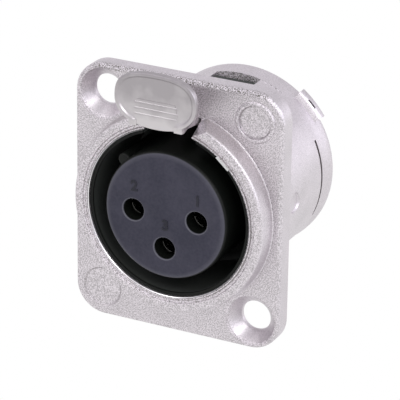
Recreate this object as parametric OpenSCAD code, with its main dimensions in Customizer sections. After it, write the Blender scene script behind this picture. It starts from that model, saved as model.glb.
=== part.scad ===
// Three pole round audio socket with a latch, for mounting in a panel.
// The origin is on the socket's axis, in the plane where the flange seats on the panel.
// The mouth faces -Y, the barrel runs back along +Y, and +Z is up.

/* [Flange] */
// Width of the flange
flange_w = 26; // [25.2:0.1:30]
// Height of the flange
flange_h = 31; // [30:0.1:36]
// Thickness of the flange
flange_t = 2.2; // [1.8:0.1:3]
// Radius of the flange's four corners
flange_corner_r = 3.6; // [2:0.1:4.5]
// Rounding of the flange's front edge
flange_edge_r = 0.5; // [0.2:0.05:0.8]
// Distance between the two screw holes, across
screw_pitch_x = 19; // [18.6:0.1:20]
// Distance between the two screw holes, up and down
screw_pitch_z = 24; // [23.4:0.1:25]
// Diameter of the screw holes
screw_hole_d = 3.6; // [3.2:0.1:4]
// Diameter of the countersinks at the flange's front
screw_head_d = 6; // [5.2:0.1:6.4]
// Diameter of the blank round field in the other upper corner
medallion_d = 4; // [3:0.1:4.6]
// Width of the raised rim round that field
medallion_rim_w = 0.3; // [0.2:0.05:0.4]
// Height of that rim
medallion_rim_h = 0.12; // [0.08:0.01:0.2]
// Diameter of the ejector mark in the other lower corner
ejector_mark_d = 4.8; // [4:0.1:5]
// Depth of the round fields and marks
mark_depth = 0.12; // [0.06:0.01:0.2]

/* [Mouth ring] */
// Width of the ring at the flange, from the mouth's edge outwards
ring_w = 2.15; // [1.9:0.05:2.5]
// Height of the ring above the flange
ring_h = 2.45; // [2:0.05:3]
// Radius that the ring loses over its height
ring_draft = 0.2; // [0:0.05:0.4]
// Rounding of the ring's outer edge
ring_edge_r = 0.35; // [0.2:0.05:0.5]
// Thickness of the lip that the liner stops against
lip_t = 0.6; // [0.4:0.05:0.9]
// Height by which the lip stands in from the barrel's bore
lip_h = 0.27; // [0.2:0.01:0.35]
// Width of the ledge round the mouth
ledge_w = 0.45; // [0.3:0.05:0.7]
// Depth of that ledge
ledge_depth = 0.25; // [0.1:0.05:0.35]
// Width of the notch for the latch, at the mouth's edge
notch_w = 5.9; // [5.7:0.05:6.2]
// Widening of the notch at the ring's front, along the ramp at each side
notch_flare = 1.7; // [1.2:0.1:2]
// Slope of those ramps across the front, from +X towards +Z
notch_angle = 28; // [20:1:40]
// Slope of the ramps down to the flange
ramp_angle = 66; // [60:1:75]
// Height of the notch's floor over the flange
notch_floor_h = 0.05; // [0.03:0.01:0.1]

/* [Barrel] */
// Outer diameter of the barrel behind the panel
barrel_d = 22.1; // [21.9:0.05:22.4]
// Thickness of the barrel's wall
barrel_wall = 0.93; // [0.85:0.01:1]
// Length of the barrel behind the retaining clip
tail_l = 2.7; // [2.4:0.05:4]
// Height of the rim at the barrel's rear end
rim_h = 0.15; // [0.1:0.01:0.3]
// Length over which the barrel widens to that rim
rim_rise_l = 1.6; // [1:0.1:2]
// Length of the rim
rim_l = 0.6; // [0.4:0.1:0.8]
// Width of the window in the barrel's top
window_w = 5.6; // [5.2:0.1:6]
// Length of the bridge between the window and the barrel's rear end
bridge_l = 2.55; // [2:0.05:3]
// Thickness of the two rails beside the window that keep the inserts from turning
rail_t = 0.4; // [0.3:0.05:0.6]
// Height of those rails
rail_h = 0.85; // [0.7:0.05:0.9]
// Distance of the rails behind the panel
rail_y = 0.55; // [0.3:0.05:1]
// Height of the lug over the rear rim
lug_h = 0.75; // [0.6:0.05:0.8]
// Length of the lug along the axis
lug_l = 0.95; // [0.7:0.05:1.2]
// Angle at the middle of the lug
lug_angle = 43.5; // [40:0.5:50]
// Angle that the lug spans
lug_span = 19; // [14:1:24]
// Length of the slot in the lug
lug_slot_l = 1; // [0.6:0.1:1.4]
// Width of the slot in the lug
lug_slot_w = 0.28; // [0.2:0.02:0.34]
// Diameter of the round ejector flat on the barrel's right side
side_mark_d = 3.5; // [2.5:0.1:4]
// Distance of that flat behind the panel
side_mark_y = 5.8; // [4:0.1:8]
// Depth of that flat in the barrel's wall
side_mark_depth = 0.2; // [0.12:0.01:0.25]

/* [Inserts] */
// Width of the round gap for the plug's shell
gap_w = 1.97; // [1.9:0.01:2.05]
// Height of the pillar's face in front of the ring
pillar_proud = 0.55; // [0.2:0.05:0.8]
// Rounding of the pillar's front edge
pillar_edge_r = 0.4; // [0.2:0.05:0.6]
// Depth of the round gap, from the front of the ring
gap_depth = 10.5; // [10:0.1:11]
// Thickness of the black liner round the gap
liner_t = 0.43; // [0.36:0.01:0.45]
// Clearance of the inserts in the barrel, on the radius
insert_clearance = 0.07; // [0.04:0.01:0.12]
// Thickness of the front insert's base
base_t = 3; // [2.8:0.1:3.4]
// Thickness of the rear insert
rear_insert_t = 3.9; // [3.6:0.1:4.4]
// Gap between pieces that stack up along the axis
stack_gap = 0.05; // [0.03:0.01:0.08]
// Angle of the key rib on the pillar
key_angle = 134; // [130:1:138]
// Width of the key rib
key_w = 1.5; // [1.2:0.1:1.8]
// Height of the key rib over the pillar
key_h = 0.9; // [0.7:0.05:1]
// Width of the channel in the inserts, over the latch
channel_w = 6.6; // [6.5:0.05:7]

/* [Contacts] */
// Distance of the contacts from the axis
contact_r = 3.96; // [3.8:0.02:4.1]
// Diameter of the contact holes in the pillar's face
contact_hole_d = 2.52; // [2.46:0.02:2.7]
// Bevel round the contact holes
contact_hole_bevel = 0.12; // [0.06:0.02:0.2]
// Thickness of the pillar's face over the contacts
face_t = 1.2; // [0.9:0.1:1.6]
// Bore of a contact
contact_bore_d = 2.4; // [2.36:0.02:2.44]
// Length of the lead-in at the contact's mouth
lead_l = 0.55; // [0.55:0.05:0.8]
// Outer diameter of a contact
contact_d = 3.2; // [3:0.05:3.3]
// Clearance round a contact in the inserts, on the radius
contact_clearance = 0.05; // [0.03:0.01:0.08]
// Room round the contact's spring fingers, on the radius
finger_room = 0.15; // [0.1:0.01:0.2]
// Depth of a contact's bore
contact_bore_l = 11; // [10:0.1:11.2]
// Length of the slits between the spring fingers
finger_l = 5.5; // [4:0.1:5.6]
// Width of those slits
finger_slit_w = 0.32; // [0.2:0.02:0.4]
// Diameter of the contact's collar
collar_d = 4.2; // [3.9:0.05:4.5]
// Length of the collar
collar_l = 1.35; // [1:0.05:1.6]
// Length of the solder cup behind the rear insert
cup_l = 7.6; // [6:0.1:9]
// Diameter of the solder cup
cup_d = 2.9; // [2.6:0.05:3]
// Inner diameter of the solder cup
cup_bore_d = 2; // [1.6:0.05:2.1]
// Depth of the solder cup
cup_depth = 4.6; // [3.4:0.1:5]
// Length of the cup's open side
cup_open_l = 3.4; // [2:0.1:4]

/* [Ground strip] */
// Angle of the ground strip, from +X towards +Z
strip_angle = 48; // [46:1:52]
// Width of the strip
strip_w = 2; // [1.6:0.1:2.2]
// Thickness of the strip
strip_t = 0.3; // [0.2:0.02:0.32]
// Clearance beside the strip
strip_clearance = 0.12; // [0.08:0.02:0.2]
// Height by which the strip bows in to the plug
strip_bow = 0.3; // [0.2:0.05:0.4]
// Length of each slope of that bow
strip_slope_l = 1.6; // [1.2:0.1:2]
// Length of the strip's straight pieces in front
strip_end_l = 1; // [0.6:0.1:1.4]
// Distance of the strip's end behind the ring's front
strip_inset = 0.4; // [0.2:0.05:0.6]
// Depth of the rear tag below the inserts' rim
tag_drop = 2.05; // [1.85:0.05:2.45]
// Length of the tag behind the rear insert
tag_l = 6.4; // [4:0.1:8]
// Length of the step where the strip bends in to the tag
strip_step_l = 0.8; // [0.6:0.05:1]
// Diameter of the eye in the tag
tag_eye_d = 1.3; // [0.8:0.05:1.4]

/* [Retaining clip] */
// Thickness of the clip
clip_t = 0.3; // [0.24:0.02:0.4]
// Width of the clip's ring
clip_w = 1.3; // [1.1:0.05:1.4]
// Angles of the clip's two ears, from +X towards +Z
ear_angles = [0, 180];
// Angle that each of the clip's ears spans
ear_span = 46; // [30:1:48]
// Distance that the ears reach into the barrel's wall
ear_reach = 0.75; // [0.5:0.05:0.8]
// Angle of each slit in the barrel, for an ear
slit_span = 50; // [49:1:54]
// Angle of the clip's opening at the bottom
clip_opening = 44; // [30:1:60]
// Radius of the eyes at the clip's ends
clip_eye_r = 0.9; // [0.7:0.05:1]
// Clearance of the ears in their slits, at each side
slit_gap = 0.03; // [0.02:0.01:0.05]

/* [Latch lever] */
// Width of the thumb tab
tab_w = 10.06; // [9:0.02:10.6]
// Height of the thumb tab
tab_h = 6.5; // [6:0.1:7.2]
// Thickness of the thumb tab
tab_t = 0.8; // [0.7:0.05:1]
// Width of the rim round the tab's dished face
tab_rim_w = 0.4; // [0.3:0.05:0.6]
// Depth of the dished face
tab_dish = 0.28; // [0.15:0.01:0.35]
// Distance of the tab's face in front of the ring
tab_reach = 3.25; // [2.8:0.05:4]
// Width of the tab's foot, at its lower edge
foot_w = 4.7; // [4:0.1:5.2]
// Widening of the foot at its upper end, at each side
foot_flare = 0.6; // [0.3:0.05:0.8]
// Height over which the foot widens
foot_h = 1; // [0.8:0.05:1.3]
// Rounding of the bend from the foot to the neck
foot_bend_r = 0.45; // [0.3:0.05:0.6]
// Width of the neck behind the tab
neck_front_w = 6.6; // [6.2:0.05:6.8]
// Width of the neck in the notch and the flange
neck_w = 5.5; // [5:0.05:5.6]
// Thickness of the neck
neck_t = 0.7; // [0.6:0.05:0.8]
// Height of the foot's lower edge over the mouth's edge
neck_rise = 1.4; // [1.3:0.05:1.6]
// Height of the neck's front end over the foot's lower edge
neck_lift = 0.1; // [0.05:0.01:0.15]
// Fall of the neck from its front end to the flange
neck_fall = 0.65; // [0.5:0.05:0.75]
// Length over which the neck narrows, ahead of the ring
neck_taper_l = 2; // [1.6:0.1:2.4]
// Radius of the lever's pivot boss
boss_r = 0.75; // [0.7:0.05:0.8]
// Width of the lever's pivot boss
boss_w = 6.1; // [5.8:0.05:6.3]
// Width of the rear arm
arm_w = 4.6; // [4:0.1:4.8]
// Thickness of the rear arm
arm_t = 0.8; // [0.7:0.05:0.9]
// Depth of the arm's underside below the inserts' rim
arm_drop = 0.15; // [0.1:0.01:0.2]
// Length of the arm that rests on the front insert
arm_rest_l = 1.55; // [1.2:0.05:1.8]
// Chamfer of the arm's upper end
arm_chamfer = 0.3; // [0.2:0.05:0.4]
// Gap between the rear arm and its rest on the front insert
rest_gap = 0.05; // [0.03:0.01:0.1]
// Width of the hook's nose
nose_w = 3.2; // [2.4:0.1:3.6]
// Gap between the hook and the front insert's base
nose_stand = 0.55; // [0.5:0.05:0.8]
// Depth of the pivot below the middle of the neck at the flange
pivot_drop = 0.45; // [0.35:0.05:0.5]
// Gap between the hook's tip and the pillar
nose_gap = 1.1; // [0.9:0.05:1.2]
// Length of the hook's flat tip
nose_tip_l = 0.9; // [0.6:0.05:1.2]
// Length of the hook's ramp
nose_ramp_l = 1.8; // [1.2:0.1:2.2]
// Diameter of the lever's pin
pin_d = 0.8; // [0.7:0.05:0.85]
// Clearance of the lever on its pin, on the radius
pin_clearance = 0.05; // [0.02:0.01:0.08]
// Length of pin held in the flange at each end
pin_hold = 0.8; // [0.7:0.05:1]
// Clearance between the lever's boss and the flange, at each side
boss_side_gap = 0.12; // [0.1:0.01:0.16]

/* [Latch spring] */
// Thickness of the leaf
leaf_t = 0.25; // [0.15:0.01:0.26]
// Width of the leaf
leaf_w = 2.6; // [2:0.1:3]
// Length of the leaf's foot in the rear insert
leaf_foot_l = 3; // [2:0.1:3.4]
// Distance of the leaf's rise behind the arm
leaf_stand = 0.65; // [0.5:0.05:0.8]
// Size of the leaf's bends
leaf_bend = 0.3; // [0.2:0.02:0.34]
// Distance of the leaf's touching edge from the arm's end
leaf_touch = 0.8; // [0.6:0.05:1.2]
// Length of the leaf's turned up tip
leaf_tip_l = 1; // [0.6:0.1:1.4]
// Depth of the leaf's foot below the inserts' rim
leaf_depth = 1.15; // [1.05:0.05:1.3]
// Gap between the leaf and the arm at rest
leaf_gap = 0.03; // [0.02:0.01:0.05]
// Room for the leaf in the front insert, at each side and before its rise
leaf_room = 0.2; // [0.1:0.02:0.3]
// Clearance round the leaf's foot
leaf_clearance = 0.04; // [0.03:0.01:0.06]

/* [Hidden] */
$fn = 96;
small_fn = 40;
// Overshoot of a cut past the solid that it cuts
over = 0.5;

// Places along the axis, from the mouth back
mouth_y = -(flange_t + ring_h);
face_y = mouth_y - pillar_proud;
liner_y = mouth_y + lip_t + stack_gap;
base_y = mouth_y + gap_depth;
base_end_y = base_y + base_t;
rear_y = base_end_y + stack_gap;
rear_end_y = rear_y + rear_insert_t;
clip_y = rear_end_y + stack_gap;
barrel_l = clip_y + clip_t + tail_l;
window_l = barrel_l - bridge_l;

// Radii, from the barrel's outside in
barrel_r = barrel_d / 2;
rim_r = barrel_r + rim_h;
lug_r = rim_r + lug_h;
bore_r = barrel_r - barrel_wall;
mouth_r = bore_r - lip_h;
ring_r = mouth_r + ring_w;
notch_floor_y = -flange_t - notch_floor_h;
insert_r = bore_r - insert_clearance;
liner_r = insert_r - liner_t;
pillar_r = liner_r - gap_w;

// Contacts
contact_angles = [0, 180, -90];
contact_y = face_y + face_t + stack_gap;
collar_y = base_end_y - collar_l;
cup_end_y = rear_end_y + cup_l;

// Lever
neck_z = mouth_r + neck_rise;
pivot_y = -flange_t / 2;
neck_under_z = neck_z + neck_lift;
pivot_z = neck_under_z + neck_t / 2 - neck_fall - pivot_drop;
slot_w = boss_w + 2 * boss_side_gap;
slot_top_z = pivot_z + boss_r + boss_side_gap;
groove_r = pin_d / 2 + pin_clearance / 2;
groove_l = slot_w + 2 * pin_hold + 2 * pin_clearance;
tab_y = mouth_y - tab_reach;
arm_z = insert_r - arm_drop;
arm_end_y = base_y + arm_rest_l;
nose_end_y = base_y - nose_stand;
nose_z = pillar_r + nose_gap;

// Room for the latch in the inserts
channel_z = pillar_r + key_h + leaf_clearance;
leaf_rise_y = arm_end_y + leaf_stand;
pocket_y = leaf_rise_y - leaf_t - leaf_room;
leaf_z = insert_r - leaf_depth;

// Ground strip
strip_r = insert_r - strip_t / 2 - (liner_t - strip_t) / 2;
strip_y = mouth_y + strip_inset;
strip_bend_y = rear_y + strip_t;
tag_r = insert_r - tag_drop;

module along_y() rotate([-90, 0, 0]) children();
module at_angle(phi) rotate([0, -phi, 0]) children();
module across(w) rotate([90, 0, 90]) linear_extrude(height = w, center = true) children();

// A round bar along the axis, from y0 to y1
module drum(r, y0, y1, r_end = 0) {
    translate([0, y0, 0]) along_y() cylinder(r1 = r, r2 = r_end > 0 ? r_end : r, h = y1 - y0);
}

// A block between two corners, each given as x, y, z
module block(low, high) {
    translate(low) cube(high - low);
}

// A band round the axis between two radii, centred on an angle
module sector(r0, r1, y0, y1, middle, span) {
    at_angle(middle + span / 2) along_y() rotate_extrude(angle = span)
        translate([r0, y0]) square([r1 - r0, y1 - y0]);
}

// Puts its children at the place of the contact with that angle
module at_contact(phi) {
    translate([contact_r * cos(phi), 0, contact_r * sin(phi)]) children();
}

// A flat strip of even thickness along a bent line
function unit(v) = v / norm(v);
function left_of(v) = [-v[1], v[0]];
function before(path, i) = i > 0 ? unit(path[i] - path[i - 1]) : unit(path[1] - path[0]);
function after(path, i) = i < len(path) - 1 ? unit(path[i + 1] - path[i]) : before(path, i);
function mitre(path, i) =
    let (m = unit(left_of(before(path, i)) + left_of(after(path, i))))
    m / (m * left_of(before(path, i)));
function strip_outline(path, t) = concat(
    [for (i = [0 : len(path) - 1]) path[i] + mitre(path, i) * t / 2],
    [for (i = [len(path) - 1 : -1 : 0]) path[i] - mitre(path, i) * t / 2]);

// The flange plate, with its front edge rounded all the way round
module plate_section(w) {
    straight = flange_t - flange_edge_r;
    translate([-w / 2, -straight]) square([w, straight]);
    translate([flange_edge_r - w / 2, -flange_t]) square([w - 2 * flange_edge_r, flange_t]);
    for (side = [-1, 1])
        translate([side * (w / 2 - flange_edge_r), -straight])
            circle(r = flange_edge_r, $fn = small_fn);
}

module plate_corner() {
    along_y() rotate_extrude() intersection() {
        plate_section(2 * flange_corner_r);
        translate([0, -flange_t]) square([flange_corner_r, flange_t]);
    }
}

module flange_plate() {
    rotate([0, 90, 0])
        linear_extrude(height = flange_w - 2 * flange_corner_r, center = true)
            plate_section(flange_h);
    linear_extrude(height = flange_h - 2 * flange_corner_r, center = true)
        plate_section(flange_w);
    for (x = [-1, 1], z = [-1, 1])
        translate([x * (flange_w / 2 - flange_corner_r), 0, z * (flange_h / 2 - flange_corner_r)])
            plate_corner();
}

module mouth_ring() {
    top_r = ring_r - ring_draft;
    inner_r = mouth_r - over;
    along_y() rotate_extrude() {
        polygon([[inner_r, -over], [ring_r, -over], [ring_r, -flange_t],
            [top_r, mouth_y + ring_edge_r], [top_r - ring_edge_r, mouth_y], [inner_r, mouth_y]]);
        translate([top_r - ring_edge_r, mouth_y + ring_edge_r])
            circle(r = ring_edge_r, $fn = small_fn);
    }
}

module barrel_body() {
    rise_y = barrel_l - rim_l - rim_rise_l;
    drum(barrel_r, -over, barrel_l);
    drum(barrel_r, rise_y, barrel_l - rim_l, rim_r);
    drum(rim_r, barrel_l - rim_l, barrel_l);
    difference() {
        sector((bore_r + barrel_r) / 2, lug_r, barrel_l - lug_l, barrel_l, lug_angle, lug_span);
        at_angle(lug_angle) translate([(lug_r + rim_r) / 2, barrel_l - lug_l / 2, 0])
            cube([lug_slot_w, 2 * lug_l, lug_slot_l], center = true);
    }
}

// The screw holes and the marks in the flange's other two corners
module flange_marks() {
    sink = (screw_head_d - screw_hole_d) / 2;
    for (side = [-1, 1])
        translate([side * screw_pitch_x / 2, 0, -side * screw_pitch_z / 2]) {
            drum(screw_hole_d / 2, -flange_t - over, over);
            drum(screw_head_d / 2, -flange_t, sink - flange_t, screw_hole_d / 2);
            drum(screw_head_d / 2, -flange_t - over, -flange_t);
        }
    translate([screw_pitch_x / 2, 0, screw_pitch_z / 2])
        drum(medallion_d / 2, -flange_t - over, mark_depth - flange_t);
    translate([-screw_pitch_x / 2, 0, -screw_pitch_z / 2])
        drum(ejector_mark_d / 2, -flange_t - over, mark_depth - flange_t);
}

module medallion_rim() {
    translate([screw_pitch_x / 2, 0, screw_pitch_z / 2])
        difference() {
            drum(medallion_d / 2 + medallion_rim_w, -flange_t - medallion_rim_h, -flange_t + over);
            drum(medallion_d / 2, -flange_t - over, over * 2);
        }
}

// A ramp beside the notch, from the flange up to the ring's front
module notch_ramp() {
    fall = (notch_floor_y - mouth_y) * cos(ramp_angle) / sin(ramp_angle);
    at_angle(notch_angle)
        translate([0, 0, mouth_r * cos(notch_angle) - notch_w / 2 * sin(notch_angle)])
            rotate([90, 0, 90]) linear_extrude(height = ring_r + notch_flare)
                polygon([[mouth_y - over, 0], [mouth_y, 0], [notch_floor_y, fall],
                    [notch_floor_y, ring_r], [mouth_y - over, ring_r]]);
}

// The way of the latch through the ring, the flange and the barrel's top
module latch_opening() {
    low = liner_r - window_w / 4;
    block([-notch_w / 2, mouth_y - over, low], [notch_w / 2, notch_floor_y, ring_r + over]);
    for (side = [0, 1]) mirror([side, 0, 0]) intersection() {
        notch_ramp();
        block([0, mouth_y - over, low], [notch_w / 2 + notch_flare, -flange_t, ring_r + over]);
    }
    block([-slot_w / 2, -flange_t - over / 2, low], [slot_w / 2, 0, slot_top_z]);
    block([-window_w / 2, -over, low], [window_w / 2, window_l, barrel_r + over]);
    translate([0, pivot_y, pivot_z]) rotate([0, 90, 0])
        cylinder(r = groove_r, h = groove_l, center = true, $fn = small_fn);
    block([-groove_l / 2, pivot_y, pivot_z - groove_r], [groove_l / 2, over, pivot_z + groove_r]);
}

module shell() {
    color("gainsboro") {
        difference() {
            union() {
                flange_plate();
                mouth_ring();
                barrel_body();
                medallion_rim();
            }
            drum(mouth_r, mouth_y - over, 0);
            drum(mouth_r + ledge_w, mouth_y - over, mouth_y + ledge_depth);
            drum(bore_r, mouth_y + lip_t, barrel_l + over);
            latch_opening();
            flange_marks();
            at_angle(strip_angle)
                block([mouth_r - over, mouth_y - over, -strip_w / 2 - strip_clearance],
                    [bore_r, 0, strip_w / 2 + strip_clearance]);
            for (middle = ear_angles)
                sector(insert_r - over, rim_r + over, clip_y - slit_gap,
                    clip_y + clip_t + slit_gap, middle, slit_span);
            translate([barrel_r - side_mark_depth, side_mark_y, 0]) rotate([0, 90, 0])
                cylinder(d = side_mark_d, h = over, $fn = small_fn);
        }
        rail_z = (bore_r + barrel_r) / 2 - barrel_wall / 4;
        for (side = [-1, 1]) mirror([side < 0 ? 1 : 0, 0, 0])
            block([window_w / 2, rail_y, rail_z - rail_h],
                [window_w / 2 + rail_t, clip_y - 2 * stack_gap, rail_z]);
    }
}

module key_rib(y0, y1) {
    at_angle(key_angle) {
        translate([pillar_r + key_h - key_w / 2, 0, 0]) drum(key_w / 2, y0, y1);
        block([pillar_r - 1, y0, -key_w / 2], [pillar_r + key_h - key_w / 2, y1, key_w / 2]);
    }
}

module pillar() {
    along_y() rotate_extrude() {
        translate([0, face_y + pillar_edge_r]) square([pillar_r, base_y - face_y]);
        translate([0, face_y]) square([pillar_r - pillar_edge_r, base_y - face_y]);
        translate([pillar_r - pillar_edge_r, face_y + pillar_edge_r])
            circle(r = pillar_edge_r, $fn = small_fn);
    }
    key_rib(face_y + pillar_edge_r, base_y + over);
}

// The groove that the ground strip lies in, open to the insert's rim
module strip_groove(y0, y1) {
    at_angle(strip_angle)
        block([strip_r - strip_t / 2 - strip_clearance, y0, -strip_w / 2 - strip_clearance],
            [insert_r + over, y1, strip_w / 2 + strip_clearance]);
}

module front_insert() {
    room_r = contact_d / 2 + finger_room;
    color("#2b2930") difference() {
        union() {
            pillar();
            drum(insert_r, base_y, base_end_y);
            difference() {
                drum(insert_r, liner_y, base_end_y);
                drum(liner_r, liner_y - over, base_end_y + over);
            }
        }
        for (phi = contact_angles) at_contact(phi) {
            drum(contact_hole_d / 2, face_y - over, base_y);
            drum(contact_hole_d / 2 + contact_hole_bevel, face_y, face_y + contact_hole_bevel,
                contact_hole_d / 2);
            drum(room_r, contact_y - stack_gap, collar_y);
            drum(collar_d / 2 + contact_clearance, collar_y - stack_gap, base_end_y + over);
        }
        block([-channel_w / 2, liner_y - over, channel_z], [channel_w / 2, base_y, insert_r + over]);
        block([-channel_w / 2, base_y - over, arm_z - rest_gap],
            [channel_w / 2, base_end_y + over, insert_r + over]);
        block([-leaf_w / 2 - leaf_room, pocket_y, leaf_z - leaf_t - leaf_clearance],
            [leaf_w / 2 + leaf_room, base_end_y + over, insert_r + over]);
        strip_groove(liner_y - over, base_end_y + over);
    }
}

module rear_insert() {
    leaf_half = leaf_t / 2 + leaf_clearance;
    color("#2f2d34") difference() {
        drum(insert_r, rear_y, rear_end_y);
        for (phi = contact_angles) at_contact(phi)
            drum(contact_d / 2 + contact_clearance, rear_y - over, rear_end_y + over);
        block([-channel_w / 2, rear_y - over, leaf_z + 2 * leaf_t],
            [channel_w / 2, rear_end_y + over, insert_r + over]);
        block([-leaf_w / 2 - leaf_clearance, rear_y - over, leaf_z - leaf_half],
            [leaf_w / 2 + leaf_clearance, rear_y + leaf_foot_l + leaf_clearance,
                leaf_z + leaf_half]);
        at_angle(strip_angle) {
            block([tag_r - strip_t / 2 - strip_clearance, rear_y - over,
                    -strip_w / 2 - strip_clearance],
                [insert_r + over, strip_bend_y + strip_step_l + strip_t + strip_clearance,
                    strip_w / 2 + strip_clearance]);
            block([tag_r - strip_t / 2 - strip_clearance, rear_y,
                    -strip_w / 2 - strip_clearance],
                [tag_r + strip_t / 2 + strip_clearance, rear_end_y + over,
                    strip_w / 2 + strip_clearance]);
        }
    }
}

// A turned contact: spring fingers at the front, a collar between the inserts, a solder cup behind
module contact(phi) {
    flare = (contact_d - contact_bore_d) / 4;
    color("goldenrod") at_contact(phi) difference() {
        union() {
            drum(contact_d / 2, contact_y, rear_end_y);
            drum(collar_d / 2, collar_y, base_end_y);
            drum(cup_d / 2, rear_end_y, cup_end_y);
        }
        drum(contact_bore_d / 2, contact_y - over, contact_y + contact_bore_l);
        drum(contact_bore_d / 2 + flare, contact_y, contact_y + lead_l, contact_bore_d / 2);
        for (turn = [0, 90]) rotate([0, turn, 0])
            translate([0, contact_y + finger_l / 2, 0])
                cube([finger_slit_w, finger_l + 0.01, contact_d + over], center = true);
        drum(cup_bore_d / 2, cup_end_y - cup_depth, cup_end_y + over);
        block([-cup_d, cup_end_y - cup_open_l, cup_d / 8], [cup_d, cup_end_y + over, cup_d]);
    }
}

module contact_1() contact(contact_angles[0]);
module contact_2() contact(contact_angles[1]);
module contact_3() contact(contact_angles[2]);

module ground_strip() {
    tag_y = rear_end_y + tag_l;
    bow_y = strip_y + strip_end_l + strip_slope_l;
    path = [[strip_y, strip_r], [strip_y + strip_end_l, strip_r], [bow_y, strip_r - strip_bow],
        [bow_y + strip_end_l, strip_r - strip_bow],
        [bow_y + strip_end_l + strip_slope_l, strip_r], [strip_bend_y, strip_r],
        [strip_bend_y + strip_step_l, tag_r], [tag_y, tag_r]];
    color("silver") at_angle(strip_angle - 90) difference() {
        across(strip_w) polygon(strip_outline(path, strip_t));
        translate([0, tag_y - tag_eye_d, tag_r])
            cylinder(d = tag_eye_d, h = over + strip_t, center = true, $fn = small_fn);
        for (side = [-1, 1])
            translate([side * strip_w / 2, tag_y, tag_r]) rotate([0, 0, 45])
                cube([tag_eye_d / 2, tag_eye_d / 2, over + strip_t], center = true);
    }
}

module retaining_clip() {
    clip_r = insert_r - slit_gap;
    end_angle = clip_opening / 2 + 6;
    color("lightslategray") difference() {
        union() {
            difference() {
                drum(clip_r, clip_y, clip_y + clip_t);
                drum(clip_r - clip_w, clip_y - over, clip_y + clip_t + over);
                sector(0, clip_r + over, clip_y - over, clip_y + clip_t + over, -90, clip_opening);
            }
            for (middle = ear_angles)
                sector(clip_r - clip_w / 2, bore_r + ear_reach, clip_y, clip_y + clip_t,
                    middle, ear_span);
            for (side = [-1, 1])
                at_angle(-90 + side * end_angle) translate([clip_r - clip_w, 0, 0])
                    drum(clip_eye_r, clip_y, clip_y + clip_t);
        }
        for (side = [-1, 1])
            at_angle(-90 + side * end_angle) translate([clip_r - clip_w, 0, 0])
                drum(clip_eye_r / 2, clip_y - over, clip_y + clip_t + over);
    }
}

// The thumb tab's outline: fuller at the top than at the bottom
function tab_point(a, inset) =
    let (n = a < 180 ? 2.7 : 2.2)
    [sign(cos(a)) * (tab_w / 2 - inset) * pow(abs(cos(a)), 2 / n),
        sign(sin(a)) * (tab_h / 2 - inset) * pow(abs(sin(a)), 2 / n)];

module tab_outline(inset = 0) {
    translate([0, neck_z + tab_h / 2]) polygon([for (a = [0 : 5 : 355]) tab_point(a, inset)]);
}

// The foot's outline, where the tab's rim is open
module foot_outline() {
    half = foot_w / 2;
    polygon([[-half, neck_z], [half, neck_z], [half + foot_flare, neck_z + foot_h],
        [half, neck_z + tab_h / 2], [-half, neck_z + tab_h / 2],
        [-half - foot_flare, neck_z + foot_h]]);
}

module thumb_tab() {
    floor_y = tab_y + tab_dish;
    translate([0, tab_y + tab_t, 0]) rotate([90, 0, 0]) difference() {
        linear_extrude(height = tab_t) tab_outline();
        translate([0, 0, tab_t - tab_dish]) linear_extrude(height = tab_t) {
            tab_outline(tab_rim_w);
            foot_outline();
            translate([-foot_w / 2, neck_z - over]) square([foot_w, 2 * over]);
        }
    }
    translate([0, tab_y + tab_t, 0]) rotate([90, 0, 0])
        linear_extrude(height = tab_t - tab_dish) intersection() {
            foot_outline();
            translate([-foot_w, neck_z + foot_bend_r]) square([2 * foot_w, tab_h]);
        }
    across(foot_w) {
        translate([floor_y + foot_bend_r, neck_z + foot_bend_r])
            circle(r = foot_bend_r, $fn = small_fn);
        translate([floor_y + foot_bend_r, neck_z]) square([tab_t, neck_t * 0.8]);
        translate([floor_y, neck_z + foot_bend_r]) square([tab_t - tab_dish, foot_bend_r]);
    }
}

// The neck slopes down from the tab to the pivot
module neck() {
    taper_y = mouth_y - foot_bend_r;
    front_y = tab_y + tab_dish / 2;
    end_z = neck_under_z - neck_fall * (pivot_y - front_y) / (-flange_t - front_y);
    intersection() {
        translate([0, 0, pivot_z - boss_r]) linear_extrude(height = neck_rise + boss_r + neck_fall)
            polygon([[-neck_w / 2, pivot_y], [-neck_w / 2, taper_y],
                [-neck_front_w / 2, taper_y - neck_taper_l], [-neck_front_w / 2, front_y],
                [-foot_w / 2, front_y], [-foot_w / 2, tab_y + tab_t], [foot_w / 2, tab_y + tab_t],
                [foot_w / 2, front_y], [neck_front_w / 2, front_y],
                [neck_front_w / 2, taper_y - neck_taper_l], [neck_w / 2, taper_y],
                [neck_w / 2, pivot_y]]);
        across(neck_front_w + over) polygon([[front_y - over, neck_under_z],
            [front_y, neck_under_z], [pivot_y, end_z], [pivot_y, end_z + neck_t],
            [front_y, neck_under_z + neck_t], [front_y - over, neck_under_z + neck_t]]);
    }
}

module latch_lever() {
    arm_top = arm_z + arm_t;
    color("lightgray") difference() {
        union() {
            thumb_tab();
            neck();
            translate([0, pivot_y, pivot_z]) rotate([0, 90, 0])
                cylinder(r = boss_r, h = boss_w, center = true);
            across(arm_w) polygon([[pivot_y, pivot_z + boss_r * 0.8], [pivot_y + boss_r, arm_top],
                [arm_end_y - arm_chamfer, arm_top], [arm_end_y, arm_top - arm_chamfer],
                [arm_end_y, arm_z], [pivot_y + boss_r, arm_z],
                [pivot_y - boss_r / 2, pivot_z - boss_r * 0.8]]);
            across(nose_w) polygon([[nose_end_y - nose_tip_l - nose_ramp_l, arm_z + arm_t / 2],
                [nose_end_y - nose_tip_l, nose_z], [nose_end_y - nose_tip_l / 9, nose_z],
                [nose_end_y, arm_z + arm_t / 2]]);
        }
        translate([0, pivot_y, pivot_z]) rotate([0, 90, 0])
            cylinder(d = pin_d + 2 * pin_clearance, h = boss_w + over, center = true,
                $fn = small_fn);
    }
}

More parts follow.
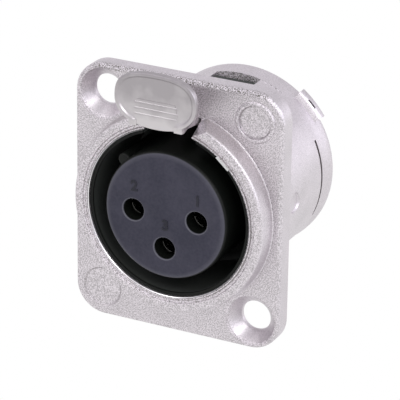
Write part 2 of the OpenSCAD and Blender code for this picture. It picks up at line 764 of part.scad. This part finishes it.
module lever_pin() {
    color("silver") translate([0, pivot_y, pivot_z]) rotate([0, 90, 0])
        cylinder(d = pin_d, h = slot_w + 2 * pin_hold, center = true, $fn = small_fn);
}

module latch_spring() {
    touch_y = arm_end_y - leaf_touch;
    touch_z = arm_z + arm_t + leaf_gap + leaf_t / 2;
    top_z = touch_z + leaf_bend / 2;
    path = [[rear_y + leaf_foot_l, leaf_z], [leaf_rise_y + leaf_bend, leaf_z],
        [leaf_rise_y, leaf_z + leaf_bend], [leaf_rise_y, top_z - leaf_bend],
        [leaf_rise_y - leaf_bend, top_z], [touch_y, touch_z], [touch_y - leaf_tip_l, top_z]];
    color("lightslategray") across(leaf_w) polygon(strip_outline(path, leaf_t));
}

shell();
front_insert();
rear_insert();
contact_1();
contact_2();
contact_3();
ground_strip();
retaining_clip();
latch_lever();
lever_pin();
latch_spring();
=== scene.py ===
import math

import bmesh
import bpy
from mathutils import Matrix, Vector


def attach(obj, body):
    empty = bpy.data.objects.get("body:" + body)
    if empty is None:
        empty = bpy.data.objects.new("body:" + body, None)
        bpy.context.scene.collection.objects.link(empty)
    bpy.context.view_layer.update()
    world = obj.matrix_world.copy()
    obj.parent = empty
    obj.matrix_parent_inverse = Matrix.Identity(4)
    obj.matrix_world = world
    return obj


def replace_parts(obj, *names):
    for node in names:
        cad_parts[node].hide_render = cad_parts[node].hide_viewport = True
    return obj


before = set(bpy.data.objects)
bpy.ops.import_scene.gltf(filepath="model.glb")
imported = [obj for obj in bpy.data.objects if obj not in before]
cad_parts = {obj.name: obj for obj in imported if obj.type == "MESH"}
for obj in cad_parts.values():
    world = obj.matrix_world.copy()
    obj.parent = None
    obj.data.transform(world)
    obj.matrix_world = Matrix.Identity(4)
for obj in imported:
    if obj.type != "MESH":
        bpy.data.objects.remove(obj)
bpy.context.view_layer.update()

# The housing is one zinc casting, nickel plated: a flange plate with a round mouth ring in front and a
# thin barrel behind. Screws through two of its corners hold it on the panel. All sizes are in millimetres
# until a piece is finished.
FLANGE_W, FLANGE_H, FLANGE_T, CORNER_R = 26.0, 31.0, 2.2, 3.6
RING_R, MOUTH_R, BORE_R, BARREL_R, RIM_R, LUG_R = 12.0, 9.98, 10.12, 11.05, 11.2, 11.95
MOUTH_Y, BARREL_END = -4.65, 15.85
SCREW_X, SCREW_Z = 9.5, 12.0
PIN_Y, PIN_Z = -1.1, 10.6
NOTCH_W, CHANNEL_W, RAMP_TURN = 5.9, 5.6, 28
LUG_TURN, STRIP_TURN, STRIP_W = 43.5, -48, 2.24


class Wire:
    """The output of a shader node, with the sums that can be made of it."""

    tree = None

    def __init__(self, socket):
        self.socket = socket

    @classmethod
    def node(cls, kind, settings=None, sockets=None, output=0):
        made = cls.tree.nodes.new("ShaderNode" + kind)
        for name, value in (settings or {}).items():
            setattr(made, name, value)
        for name, value in (sockets or {}).items():
            if isinstance(value, Wire):
                cls.tree.links.new(value.socket, made.inputs[name])
            else:
                made.inputs[name].default_value = value
        return cls(made.outputs[output])

    @classmethod
    def maths(cls, operation, first, second=0.0):
        return cls.node("Math", {"operation": operation}, {0: first, 1: second})

    def __add__(self, other):
        return self.maths("ADD", self, other)

    def __sub__(self, other):
        return self.maths("SUBTRACT", self, other)

    def __rsub__(self, other):
        return self.maths("SUBTRACT", other, self)

    def __mul__(self, other):
        return self.maths("MULTIPLY", self, other)

    def __pow__(self, power):
        return self.maths("POWER", self, power)

    def __abs__(self):
        return self.maths("ABSOLUTE", self)

    __radd__, __rmul__ = __add__, __mul__


def new_finish(name):
    """An empty material, and the place on the piece that its patterns read."""
    finish = bpy.data.materials.new(name)
    finish.use_nodes = True
    finish.node_tree.nodes.clear()
    Wire.tree = finish.node_tree
    return finish, Wire.node("TexCoord", output=3)


def parts_of(place):
    """The millimetres to the side of the axis, along it and above it."""
    return [Wire.node("SeparateXYZ", sockets={"Vector": place}, output=i) * 1000.0 for i in range(3)]


def away(x, z):
    """The distance of x and z from nought."""
    return (x * x + z * z) ** 0.5


def noise(place, size, detail=2.0, rough=0.5):
    return Wire.node("TexNoise", sockets={"Vector": place, "Scale": 1000 / size, "Detail": detail,
                                          "Roughness": rough})


def ramp(value, start, end, low=0.0, high=1.0):
    """Runs from low to high as value goes from start to end."""
    return Wire.node("MapRange", sockets={"Value": value, "From Min": start, "From Max": end,
                                          "To Min": low, "To Max": high})


def band(value, start, end, soft):
    """Is 1 between start and end, and runs down to 0 over a soft edge inside them."""
    return ramp(value, start, start + soft) * ramp(value, end, end - soft)


def shade(value, dark, light):
    """Runs from dark to light, which are colours or the shades of other nodes."""
    dark, light = (colour if isinstance(colour, Wire) else (*colour, 1) for colour in (dark, light))
    return Wire.node("Mix", {"data_type": "RGBA"}, {0: value, 6: dark, 7: light}, output=2)


def surface(height, depth, **sockets):
    """Ends the material in a shader with these sockets, and relief of that depth where height is 1."""
    named = {name.replace("_", " "): value for name, value in sockets.items()}
    named["Normal"] = Wire.node("Bump", sockets={"Height": height, "Distance": depth / 1000, "Strength": 1.0})
    shader = Wire.node("BsdfPrincipled", sockets=named)
    Wire.tree.links.new(shader.socket, Wire.tree.nodes.new("ShaderNodeOutputMaterial").inputs["Surface"])


def closed(shape):
    """The shape with its seams and poles merged and its faces pointing outwards."""
    bmesh.ops.remove_doubles(shape, verts=shape.verts, dist=1e-5)
    bmesh.ops.recalc_face_normals(shape, faces=shape.faces)
    return shape


def rounded(shape, geom, radius, segments, affect="EDGES"):
    bmesh.ops.bevel(shape, geom=geom, offset=radius, offset_type="OFFSET", segments=segments, profile=0.5,
                    affect=affect, material=-1)


def outline(points, segments):
    """A flat face through points (x, y) or (x, y, rounding)."""
    shape = bmesh.new()
    corners = [shape.verts.new((x, y, 0)) for x, y, *_ in points]
    shape.faces.new(corners)
    for corner, (_, _, *rounding) in zip(corners, points):
        if rounding:
            rounded(shape, [corner], rounding[0], segments, "VERTICES")
    return shape


def turned(points, steps=192, turn=360.0, middle=0.0):
    """A solid of revolution about Y, whole or round a middle angle, over an outline of (radius, y) points."""
    shape = outline(points, 5)
    if turn == 360:
        bmesh.ops.delete(shape, geom=shape.faces[:], context="FACES_ONLY")
        on_axis = [e for e in shape.edges if all(abs(v.co.x) < 1e-6 for v in e.verts)]
        bmesh.ops.delete(shape, geom=on_axis, context="EDGES")
    bmesh.ops.spin(shape, geom=shape.verts[:] + shape.edges[:] + shape.faces[:], cent=(0, 0, 0),
                   axis=(0, 1, 0), angle=math.radians(turn), steps=steps, use_merge=turn == 360)
    if turn != 360:
        placed(shape, (-middle - turn / 2, "Y"))
    return closed(shape)


def slab(points, depth, segments=5):
    """A solid of even depth towards +Z over an outline of (x, y) points."""
    shape = outline(points, segments)
    grown = bmesh.ops.extrude_face_region(shape, geom=shape.faces[:])["geom"]
    bmesh.ops.translate(shape, verts=[v for v in grown if isinstance(v, bmesh.types.BMVert)],
                        vec=(0, 0, depth))
    return closed(shape)


def block(low, high):
    shape = bmesh.new()
    bmesh.ops.create_cube(shape, size=1)
    bmesh.ops.scale(shape, verts=shape.verts, vec=[b - a for a, b in zip(low, high)])
    bmesh.ops.translate(shape, verts=shape.verts, vec=[(a + b) / 2 for a, b in zip(low, high)])
    return shape


def placed(shape, *moves):
    """The shape after moves, each a vector to shift by or an (angle, axis) turn about the origin."""
    for move in moves:
        if isinstance(move[1], str):
            bmesh.ops.rotate(shape, verts=shape.verts, cent=(0, 0, 0),
                             matrix=Matrix.Rotation(math.radians(move[0]), 3, move[1]))
        else:
            bmesh.ops.translate(shape, verts=shape.verts, vec=move)
    return shape


def mirrored(shape):
    bmesh.ops.scale(shape, verts=shape.verts, vec=(-1, 1, 1))
    return closed(shape)


def upright(shape):
    """A shape drawn in XY, stood up so that its outline faces the mouth and its depth runs to -Y."""
    return placed(shape, (90, "X"))


def across(points, width, segments=5):
    """A solid of that width, centred on X, over an outline of (y, z) points."""
    return placed(slab(points, width, segments), (0, 0, -width / 2), (90, "Y"), (90, "X"))


def rod(points, steps, *moves):
    """A solid of revolution about X, over an outline of (radius, x) points."""
    return placed(turned(points, steps), (-90, "Z"), *moves)


def as_object(shape, name):
    mesh = bpy.data.meshes.new(name)
    shape.to_mesh(mesh)
    shape.free()
    made = bpy.data.objects.new(name, mesh)
    bpy.context.scene.collection.objects.link(made)
    return made


def worked(shape, operation, *others):
    """The shape joined with or cut by the others."""
    base = as_object(shape, "base")
    tools = [as_object(other, "tool") for other in others]
    for tool in tools:
        change = base.modifiers.new("change", "BOOLEAN")
        change.operation, change.solver, change.object = operation, "EXACT", tool
    bpy.context.view_layer.update()
    seen = base.evaluated_get(bpy.context.evaluated_depsgraph_get())
    result = bmesh.new()
    result.from_mesh(seen.to_mesh())
    seen.to_mesh_clear()
    for used in [base, *tools]:
        mesh = used.data
        bpy.data.objects.remove(used)
        bpy.data.meshes.remove(mesh)
    return closed(result)


def joined(shape, *others):
    return worked(shape, "UNION", *others)


def cut(shape, *others):
    return worked(shape, "DIFFERENCE", *others)


def piece(shape, name, body, finish):
    """The finished piece, in metres, smooth where its faces meet at less than 35 degrees."""
    bmesh.ops.scale(shape, verts=shape.verts, vec=(0.001, 0.001, 0.001))
    for face in shape.faces:
        face.smooth = True
    for edge in shape.edges:
        edge.smooth = edge.calc_face_angle(0) < math.radians(35)
    made = as_object(shape, name)
    made.data.materials.append(finish)
    flats = made.modifiers.new("flats", "WEIGHTED_NORMAL")
    flats.keep_sharp, flats.mode = True, "FACE_AREA"
    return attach(made, body)


nickel, place = new_finish("nickel_zinc")
fine, blotch = noise(place, 0.13, 2, 0.7), noise(place, 3.0, 2, 0.5)
x, along, above = parts_of(place)
radius = away(x, above)
# The cast grain shows on the front faces, and most on the plate's top edge, on the mouth's edge and on
# the window's rear wall. A painted highlight runs along the mouth's inner edge.
grain = ramp(along, -1.7, -2.2, 0.25, 1.0)
mouth = ramp(along, -4.2, -4.4)
lip = 0.5 * mouth * (ramp(radius, 10.95, 10.8) + ramp(radius, 10.4, 10.3))
painted_mouth_highlight = mouth * ramp(radius, 10.2, 10.12) * ramp(radius, 9.9, 9.95)
window_wall = ramp(along, 13.1, 13.25) * ramp(along, 13.4, 13.32) * ramp(above, 9.5, 9.9)
coarse = ramp(above, 14.85, 15.2) * ramp(along, -1.4, -1.9) + 0.6 * lip + window_wall
pits = coarse * ramp(fine, 0.46, 0.4)
# The ring's outer wall is smoother, and its colour is painted darker above as shade and lighter below as a
# highlight. Painted shade lies in the mouth's groove and along the edges of the two round marks.
outer = ramp(radius, 11.6, 11.8) * ramp(radius, 12.25, 12.15) * ramp(along, -2.25, -2.35)
marks = (band(away(x + SCREW_X, above + SCREW_Z), 2.2, 2.5, 0.08)
         + band(away(x - SCREW_X, above - SCREW_Z), 1.7, 2.0, 0.1))
painted_shade_lines = 0.55 * mouth * band(radius, 10.26, 10.5, 0.08) + 0.3 * ramp(along, -1.9, -2.0) * marks
# Beside grain and blotches, the ring's face near the mouth is painted lighter as a highlight.
grain_tone_and_lip_highlight = shade(0.5 + (fine - 0.5) * (5.8 * grain + 6.0 * coarse) + 0.4 * (blotch - 0.5) + 0.8 * lip,
             (0.45, 0.425, 0.44), (0.86, 0.81, 0.85))
# Grain pits, and the painted shade in the groove and round the marks, darken the tone here.
pits_and_painted_shade = shade(painted_shade_lines, shade(pits, grain_tone_and_lip_highlight, (0.12, 0.11, 0.08)), (0.20, 0.19, 0.18))
ring_wall_painted_light = shade(ramp(above, 0.0, 5.0), (0.80, 0.76, 0.80), (0.50, 0.47, 0.46))
surface(fine * (grain + 3.0 * coarse) * (1.0 - painted_mouth_highlight) * (1.0 - 0.7 * outer), 0.05,
        Base_Color=shade(painted_mouth_highlight, shade(0.5 * outer, pits_and_painted_shade, ring_wall_painted_light), (0.90, 0.87, 0.89)),
        Metallic=1.0, Roughness=0.36 + 0.1 * blotch - 0.12 * lip)

plate = upright(slab([(side * FLANGE_W / 2, end * FLANGE_H / 2, CORNER_R)
                      for side, end in ((-1, -1), (1, -1), (1, 1), (-1, 1))], FLANGE_T, 14))
rounded(plate, [e for e in plate.edges if all(v.co.y < 0.001 - FLANGE_T for v in e.verts)], 0.5, 5)
plate = cut(closed(plate), turned([(0, -3), (11.5, -3), (11.5, 1), (0, 1)]))
tube = turned([(RING_R, -0.3), (RING_R, -FLANGE_T), (RING_R + 0.1, -FLANGE_T - 0.03, 0.02),
               (RING_R + 0.08, -FLANGE_T - 0.1, 0.04), (RING_R - 0.02, -FLANGE_T - 0.16, 0.04),
               (RING_R - 0.2, MOUTH_Y, 0.33), (10.8, MOUTH_Y, 0.08), (10.7, MOUTH_Y + 0.2, 0.05),
               (10.42, MOUTH_Y + 0.2, 0.05), (10.38, MOUTH_Y + 0.01, 0.08), (MOUTH_R, MOUTH_Y + 0.02, 0.28),
               (MOUTH_R, MOUTH_Y + 0.36), (BORE_R, MOUTH_Y + 0.36), (BORE_R, BARREL_END, 0.12),
               (RIM_R, BARREL_END, 0.15), (RIM_R, BARREL_END - 0.6, 0.1), (BARREL_R, 13.65, 0.3),
               (BARREL_R, -0.3)])
lug = turned([(10.6, 14.4), (11.0, 14.35), (LUG_R, 14.9, 0.35), (LUG_R, BARREL_END, 0.12),
              (10.6, BARREL_END)], 12, 19, LUG_TURN)
recess_rim = placed(turned([(1.95, -2.4, 0.1), (2.35, -2.4, 0.14), (2.5, -2.1), (2.0, -2.0)], 64),
                    (SCREW_X, 0, SCREW_Z))
rails = [block((2.8, 0.55, 9.5025), (3.2, 12.7, 10.3525)), block((-3.2, 0.55, 9.5025), (-2.8, 12.7, 10.3525))]
housing = joined(plate, tube, lug, recess_rim, *rails)


def notch_side():
    """What is cut away beside the notch, so that the ring slopes down to the flange there."""
    turn = math.radians(RAMP_TURN)
    low = 9.85 * math.cos(turn) - NOTCH_W / 2 * math.sin(turn)
    return placed(slab([(MOUTH_Y - 0.5, 0), (MOUTH_Y, 0), (-2.25, 1.069), (-2.25, 6), (MOUTH_Y - 0.5, 6)], 6.0),
                  (90, "Y"), (90, "X"), (5.0, 0, low), (-RAMP_TURN, "Y"))


# The notch and channel of the lever, and the seat of its pin, which is laid in from behind.
openings = [notch_side(), mirrored(notch_side()),
            across([(-5.2, 8.2), (-5.2, 12.5), (-2.25, 12.5), (-2.25, 11.3), (-0.6, 11.3), (-0.6, 8.2)],
                   NOTCH_W),
            block((-3.17, -2.21, 8.1), (3.17, 0.01, 11.47)),
            block((-CHANNEL_W / 2, -0.5, 8.0), (CHANNEL_W / 2, 13.3, 11.6)),
            rod([(0, -4.02), (0.425, -4.02), (0.425, 4.02), (0, 4.02)], 32, (0, PIN_Y, PIN_Z)),
            block((-4.02, PIN_Y, PIN_Z - 0.425), (4.02, 0.5, PIN_Z + 0.425))]
# The two countersunk screw holes, the plain round recess and the ejector pin's mark.
screw_hole = [(0, -2.8), (3.12, -2.8), (3.12, -2.14, 0.05), (2.92, -2.08, 0.05), (1.8, -0.7, 0.1),
              (1.8, -0.2, 0.05), (2.0, 0.1), (2.0, 0.5), (0, 0.5)]
recess = [(0, -2.8), (1.93, -2.8), (1.93, -2.2), (1.85, -2.0, 0.05), (0, -2.0)]
ejector_mark = [(0, -2.8), (2.45, -2.8), (2.45, -2.2), (2.2, -2.02, 0.05), (0, -2.02)]
for profile, side, end in ((screw_hole, -1, 1), (screw_hole, 1, -1), (recess, 1, 1), (ejector_mark, -1, -1)):
    openings.append(placed(turned(profile, 64), (side * SCREW_X, 0, end * SCREW_Z)))
# The ground strip's slot, the slits for the retaining clip, the barrel's round mark and the lug's slot.
openings += [placed(block((9.35, -5.2, -STRIP_W / 2), (BORE_R + 0.1, 0, STRIP_W / 2)), (STRIP_TURN, "Y")),
             *(turned([(9.55, 12.82), (11.7, 12.82), (11.7, 13.18), (9.55, 13.18)], 30, 50, middle)
               for middle in (0, 180)),
             rod([(0, 10.8), (1.1, 10.8, 0.05), (1.3, 11.1), (1.3, 12), (0, 12)], 48, (1.1, "Y"), (0, 5.65, 0)),
             placed(block((10.5, 14.93, -0.6), (12.2, 15.11, 0.6)), (-LUG_TURN, "Y"))]
housing = cut(housing, *openings)
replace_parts(piece(housing, "housing", "socket", nickel), "shell")

# The front insert is one nylon moulding: a round pillar with three contact holes, a key rib that guides
# the plug, and a thin liner round the gap. It is pushed in from behind against the ring's lip.
FACE_Y, PILLAR_R, INSERT_R, INSERT_END = -5.2, 7.65, 10.05, 8.85
CONTACT_R = 3.96
CONTACT_PLACES = [(CONTACT_R, 0, 0), (-CONTACT_R, 0, 0), (0, 0, -CONTACT_R)]

nylon, place = new_finish("black_nylon")
cloud = 0.5 + 2.5 * (noise(place, 4.0, 3, 0.6) - 0.5) + 1.2 * (noise(place, 0.3, 1) - 0.5)
x, along, above = parts_of(place)
radius = away(x, above)
# Painted highlights lighten the edges: the pillar's, and those of the three holes.
hole_rim_highlight = (band(away(abs(x) - CONTACT_R, above), 1.26, 1.48, 0.08)
             + band(away(x, above + CONTACT_R), 1.26, 1.48, 0.08))
face = shade(0.6 * ramp(radius, 6.85, 7.5) + hole_rim_highlight,
             shade(cloud, (0.030, 0.030, 0.046), (0.045, 0.044, 0.063)), (0.10, 0.10, 0.12))
# The gap's deeper outer wall is painted lighter as light that barely reaches it, and the pillar's side and the
# liner's edge are painted near black as shade.
side = shade(ramp(radius, 8.8, 9.4) * ramp(along, -4.15, -3.9), (0.004, 0.005, 0.004), (0.046, 0.050, 0.047))
front = ramp(along, -5.0, -5.1) * ramp(along, -5.24, -5.21, 0.5, 1.0)
surface(noise(place, 0.25, 2, 0.6), 0.014, Base_Color=shade(front, side, face),
        Roughness=ramp(along, -4.6, -5.0, 0.55, 0.4), Specular_IOR_Level=0.2)

moulding = turned([(0, FACE_Y), (PILLAR_R, FACE_Y, 0.62), (PILLAR_R, 5.85, 0.15), (9.62, 5.85, 0.1),
                   (9.62, -4.28, 0.05), (INSERT_R, -4.28, 0.05), (INSERT_R, INSERT_END, 0.1), (0, INSERT_END)])
rib = upright(slab([(6.65, -0.75), (8.55, -0.75, 0.74), (8.55, 0.75, 0.74), (6.65, 0.75)], 11.15, 8))
rounded(rib, [e for e in rib.edges if all(v.co.y < -11.14 for v in e.verts)], 0.3, 4)
moulding = joined(moulding, placed(closed(rib), (0, 6.35, 0), (-134, "Y")))
contact_hole = [(0, -5.7), (1.5, -5.7), (1.5, -5.22), (1.32, -5.12, 0.08), (1.26, -4.9), (1.26, -3.3),
                (1.75, -3.3), (1.75, 7.45), (2.15, 7.45), (2.15, 9.35), (0, 9.35)]
moulding = cut(moulding, *(placed(turned(contact_hole, 48), spot) for spot in CONTACT_PLACES),
               block((-3.3, -4.5, 8.59), (3.3, 5.85, 10.6)), block((-3.3, 5.35, 9.85), (3.3, 9.35, 10.6)),
               block((-1.5, 7.6, 8.61), (1.5, 9.35, 10.6)),
               placed(block((9.565, -4.5, -STRIP_W / 2), (10.6, 9.35, STRIP_W / 2)), (STRIP_TURN, "Y")))
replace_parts(piece(moulding, "insert_front", "socket", nylon), "front_insert")


def numeral(digit, height):
    """The solid shape of a digit that faces the mouth, with its middle at the origin."""
    text = bpy.data.curves.new("numeral", "FONT")
    text.body, text.size = digit, height / 0.72
    text.align_x, text.align_y = "CENTER", "CENTER"
    text.offset, text.extrude, text.bevel_depth, text.bevel_resolution = 0.01, 0.04, 0.05, 2
    made = bpy.data.objects.new("numeral", text)
    bpy.context.scene.collection.objects.link(made)
    bpy.context.view_layer.update()
    shape = bmesh.new()
    shape.from_mesh(made.evaluated_get(bpy.context.evaluated_depsgraph_get()).to_mesh())
    bpy.data.objects.remove(made)
    bpy.data.curves.remove(text)
    return upright(closed(shape))


for digit, side, end in (("1", 4.1, 2.6), ("2", -3.83, 2.9), ("3", 0.1, -1.15)):
    piece(placed(numeral(digit, 1.25), (side, FACE_Y, end)), f"numeral_{digit}", "socket", nylon)

# The thumb lever is a second zinc casting, plated smoother than the housing. It rocks on a pin in the
# flange: the tab in front goes down and the hook on its rear arm lifts out of the plug.
TAB_Y, TAB_Z, TAB_W, TAB_H = -7.9, 14.5, 10.06, 6.5
NECK_W, NECK_Z = 5.5, 11.25

smooth_nickel, place = new_finish("nickel_lever")
wave = noise(place, 1.8, 2, 0.5)
# Painted shade: the tab is darker towards the top and lighter towards the foot, with a random mottle.
mottle_and_painted_shade = ramp(parts_of(place)[2], 15.6, 11.6) + 1.4 * (wave - 0.5)
surface(noise(place, 0.5, 2, 0.5), 0.012, Base_Color=shade(mottle_and_painted_shade, (0.42, 0.395, 0.41), (0.66, 0.63, 0.64)),
        Metallic=1.0, Roughness=0.30 + 0.14 * wave)


def tab_shape(profile):
    """The dished tab, bridged over rings at (inset from its outline, depth below its front)."""
    shape = bmesh.new()
    rings = []
    for inset, depth in profile:
        ring = bmesh.ops.create_circle(shape, segments=144, radius=1)["verts"]
        for v in ring:
            # The outline is squarer above than below.
            power = 2 / (2.7 if v.co.y > 1e-6 else 2.2)
            side = math.copysign(abs(v.co.x) ** power, v.co.x) * (TAB_W / 2 - inset)
            end = math.copysign(abs(v.co.y) ** power, v.co.y) * (TAB_H / 2 - inset)
            # The rim is left out at the bottom, where the thumb's hollow runs down onto the foot.
            open_end = min(max((2.75 - abs(side)) / 0.5, 0), 1) if end < -1 else 0
            v.co = side, end, -(depth + open_end * max(0.28 - depth, 0))
        rings.append(list({e for v in ring for e in v.link_edges}))
    for ring in (rings[0], rings[-1]):
        bmesh.ops.contextual_create(shape, geom=ring)
    for first, second in zip(rings, rings[1:]):
        bmesh.ops.bridge_loops(shape, edges=first + second)
    return closed(shape)


tab = tab_shape([(0.1, 0.8), (0, 0.7), (0, 0.22), (0.06, 0.08), (0.2, 0), (0.34, 0.01), (0.46, 0.08),
                 (0.54, 0.2), (0.64, 0.26), (0.95, 0.29), (1.6, 0.33), (2.4, 0.35), (3.1, 0.355)])
# Three low ribs give the thumb its grip.
ribs = []
for height in (-0.4, -1.07, -1.74):
    rib = slab([(side * 2.7, end * 0.13, 0.12) for side, end in ((-1, -1), (1, -1), (1, 1), (-1, 1))], 0.34, 3)
    placed(rib, (0, height, -0.6))
    rounded(rib, [e for e in rib.edges if all(v.co.z > -0.3 for v in e.verts)], 0.09, 3)
    ribs.append(closed(rib))
tab = placed(upright(joined(tab, *ribs)), (0, TAB_Y, TAB_Z))
foot = placed(upright(slab([(-2.35, -2.8), (2.35, -2.8), (2.95, -2.25), (2.35, 0), (-2.35, 0), (-2.95, -2.25)],
                           0.5)), (0, TAB_Y + 0.8, TAB_Z))
bend = across([(TAB_Y + 0.29, NECK_Z + 0.9), (TAB_Y + 0.29, NECK_Z, 0.45), (TAB_Y + 1.6, NECK_Z),
               (TAB_Y + 1.5, NECK_Z + 0.55), (TAB_Y + 0.79, NECK_Z + 0.55), (TAB_Y + 0.79, NECK_Z + 0.9)],
              4.7, 8)
neck = slab([(-NECK_W / 2, PIN_Y), (-NECK_W / 2, -5.1, 0.3), (-3.3, -7.1, 0.3), (-3.3, -7.76, 0.12),
             (-2.3, -7.76, 0.08), (-2.3, -7.15), (2.3, -7.15), (2.3, -7.76, 0.08), (3.3, -7.76, 0.12),
             (3.3, -7.1, 0.3), (NECK_W / 2, -5.1, 0.3), (NECK_W / 2, PIN_Y)], 0.7)
# The neck slopes down towards the pin.
for v in neck.verts:
    v.co.z += NECK_Z + 0.1 - 0.65 * (v.co.y + 7.76) / 5.56
boss = rod([(0, -3.05), (0.75, -3.05, 0.1), (0.75, 3.05, 0.1), (0, 3.05)], 64, (0, PIN_Y, PIN_Z))
arm = across([(PIN_Y, 11.2), (-0.35, 10.7), (7.1, 10.7), (7.4, 10.4), (7.4, 9.9), (-0.35, 9.9),
              (-1.475, 10.0)], 4.6)
hook = across([(2.6, 10.3), (4.4, 8.75), (5.2, 8.75), (5.3, 10.3)], 3.2)
pin_bore = rod([(0, -3.6), (0.45, -3.6), (0.45, 3.6), (0, 3.6)], 40, (0, PIN_Y, PIN_Z))
lever = cut(joined(tab, foot, bend, neck, boss, arm, hook), pin_bore)
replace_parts(piece(lever, "thumb_lever", "lever", smooth_nickel), "latch_lever")

# The contacts are turned from brass and plated. Each has four spring fingers in front, a collar that sits
# between the two inserts, and a solder cup behind.
CONTACT_Y, COLLAR_END, CUP_END = -3.1, 8.85, 20.4

plating, place = new_finish("contact_plating")
# The fingers in front, seen only deep in the holes, are painted dark as shade; behind them the plating has its
# own tone.
bright = shade(noise(place, 1.2), (0.56, 0.55, 0.53), (0.70, 0.69, 0.67))
finger_painted_shade = shade(noise(place, 1.2), (0.10, 0.10, 0.09), (0.16, 0.16, 0.15))
surface(noise(place, 0.3, 2, 0.5), 0.006, Base_Color=shade(ramp(parts_of(place)[1], -2, 2), finger_painted_shade, bright),
        Metallic=1.0, Roughness=0.36)
for number, spot in enumerate(CONTACT_PLACES, 1):
    contact = turned([(0, 7.05), (1.2, 7.05), (1.2, CONTACT_Y, 0.08), (1.6, CONTACT_Y, 0.1), (1.6, 7.5),
                      (2.1, 7.5, 0.1), (2.1, COLLAR_END, 0.1), (1.6, COLLAR_END), (1.6, 12.8), (1.45, 12.8),
                      (1.45, CUP_END, 0.1), (1.0, CUP_END, 0.05), (1.0, 15.8), (0, 15.8)], 64)
    contact = cut(contact, block((-0.16, -4.2, -1.9), (0.16, 1.55, 1.9)),
                  block((-1.9, -4.2, -0.16), (1.9, 1.55, 0.16)), block((-2, 17.0, 0.3625), (2, 21, 3)))
    made = piece(placed(contact, spot), f"socket_contact_{number}", "socket", plating)
    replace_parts(made, f"contact_{number}")

# The inner pieces keep the shape of their CAD nodes and get their finish here: the rear insert of the same
# nylon, the ground strip of tinned spring brass, and the clip, pin and leaf of blackened steel, kept near black
# and dull partly as painted shade for the inside of the barrel.
tinned, place = new_finish("tinned_spring")
surface(noise(place, 0.5), 0.006, Base_Color=shade(noise(place, 1.5), (0.60, 0.60, 0.61), (0.74, 0.74, 0.75)),
        Metallic=1.0, Roughness=0.32)
steel, place = new_finish("spring_steel")
surface(noise(place, 0.5), 0.006,
        Base_Color=shade(noise(place, 1.5), (0.035, 0.027, 0.022), (0.07, 0.055, 0.046)),
        Roughness=0.5, Specular_IOR_Level=0.3)
for name, finish in (("rear_insert", nylon), ("ground_strip", tinned), ("retaining_clip", steel),
                     ("lever_pin", steel), ("latch_spring", steel)):
    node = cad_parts[name]
    node.data.materials.clear()
    node.data.materials.append(finish)
# A tongue on the rear insert closes the lever's channel towards the back, so that no light comes through.
piece(block((-2.7, 12.2, 9.45), (2.7, 12.8, 10.42)), "rear_tongue", "socket", nylon)

# The table is plain white paper. It shows as pure white to the camera and in reflections, and as paper to
# the light that falls on the socket's underside.
TABLE_Z = -0.045

paper, _ = new_finish("paper")
seen = Wire.node("LightPath", output=0) + Wire.node("LightPath", output=3) + Wire.node("LightPath", output=6)
Wire.tree.links.new(
    Wire.node("MixShader", sockets={
        0: seen,
        1: Wire.node("BsdfDiffuse", sockets={"Color": (0.85, 0.85, 0.85, 1)}),
        2: Wire.node("Emission", sockets={"Color": (1, 1, 1, 1), "Strength": 1.0})}).socket,
    Wire.tree.nodes.new("ShaderNodeOutputMaterial").inputs["Surface"])
sheet = bmesh.new()
bmesh.ops.create_grid(sheet, x_segments=1, y_segments=1, size=2)
table = as_object(placed(sheet, (0, 0, TABLE_Z)), "table")
table.data.materials.append(paper)

# The light is soft and even, with one brighter lamp at the upper right and a cooler one from the right.
world = bpy.data.worlds.new("studio")
bpy.context.scene.world = world
world.use_nodes = True
sky = world.node_tree.nodes["Background"].inputs
sky["Color"].default_value, sky["Strength"].default_value = (0.98, 0.96, 1.0, 1), 0.85


def lamp(name, place, size, power, colour=(1, 1, 1)):
    light = bpy.data.lights.new(name, "AREA")
    light.shape, light.size, light.energy, light.color = "SQUARE", size, power, colour
    made = bpy.data.objects.new(name, light)
    bpy.context.scene.collection.objects.link(made)
    made.location = place
    made.rotation_euler = (Vector((0, 0, 0)) - Vector(place)).to_track_quat("-Z", "Y").to_euler()


lamp("key", (0.45, -0.42, 0.48), 0.25, 1.3)
lamp("left", (-0.35, -0.45, 0.6), 0.3, 1.0)
lamp("fill", (0.6, 0.0, 0.3), 0.5, 1.3, (0.88, 0.91, 1.0))
lamp("back", (0.6, 0.5, 0.1), 0.5, 0.6, (0.92, 0.91, 1.0))

# The camera stands where the photograph was taken: above and to the right, looking down on the mouth. Its
# focal length and middle are in pixels of a picture 400 pixels wide, and its distance in millimetres.
PICTURE = 400
azimuth, elevation, roll = (math.radians(angle) for angle in (26.337, 23.212, 0.887))
focal, distance, middle_x, middle_y = 2729.48, 307.435, 176.772, 206.987
right = Vector((math.cos(azimuth), math.sin(azimuth), 0))
back = Vector((math.sin(azimuth) * math.cos(elevation), -math.cos(azimuth) * math.cos(elevation),
               math.sin(elevation)))
up = back.cross(right)
across_view = math.cos(roll) * right + math.sin(roll) * up
up_view = math.cos(roll) * up - math.sin(roll) * right
shift_x, shift_y = ((middle_x - PICTURE / 2) * distance / focal, (PICTURE / 2 - middle_y) * distance / focal)
spot = back * distance - across_view * shift_x - up_view * shift_y - Vector((0, FLANGE_T, 0))
lens = bpy.data.cameras.new("camera")
lens.sensor_width = 36
lens.lens = focal / PICTURE * lens.sensor_width
camera = bpy.data.objects.new("camera", lens)
bpy.context.scene.collection.objects.link(camera)
turn = Matrix((across_view, up_view, back)).transposed().to_4x4()
camera.matrix_world = Matrix.Translation(spot / 1000) @ turn
bpy.context.scene.camera = camera
bpy.context.scene.view_settings.view_transform = "Standard"
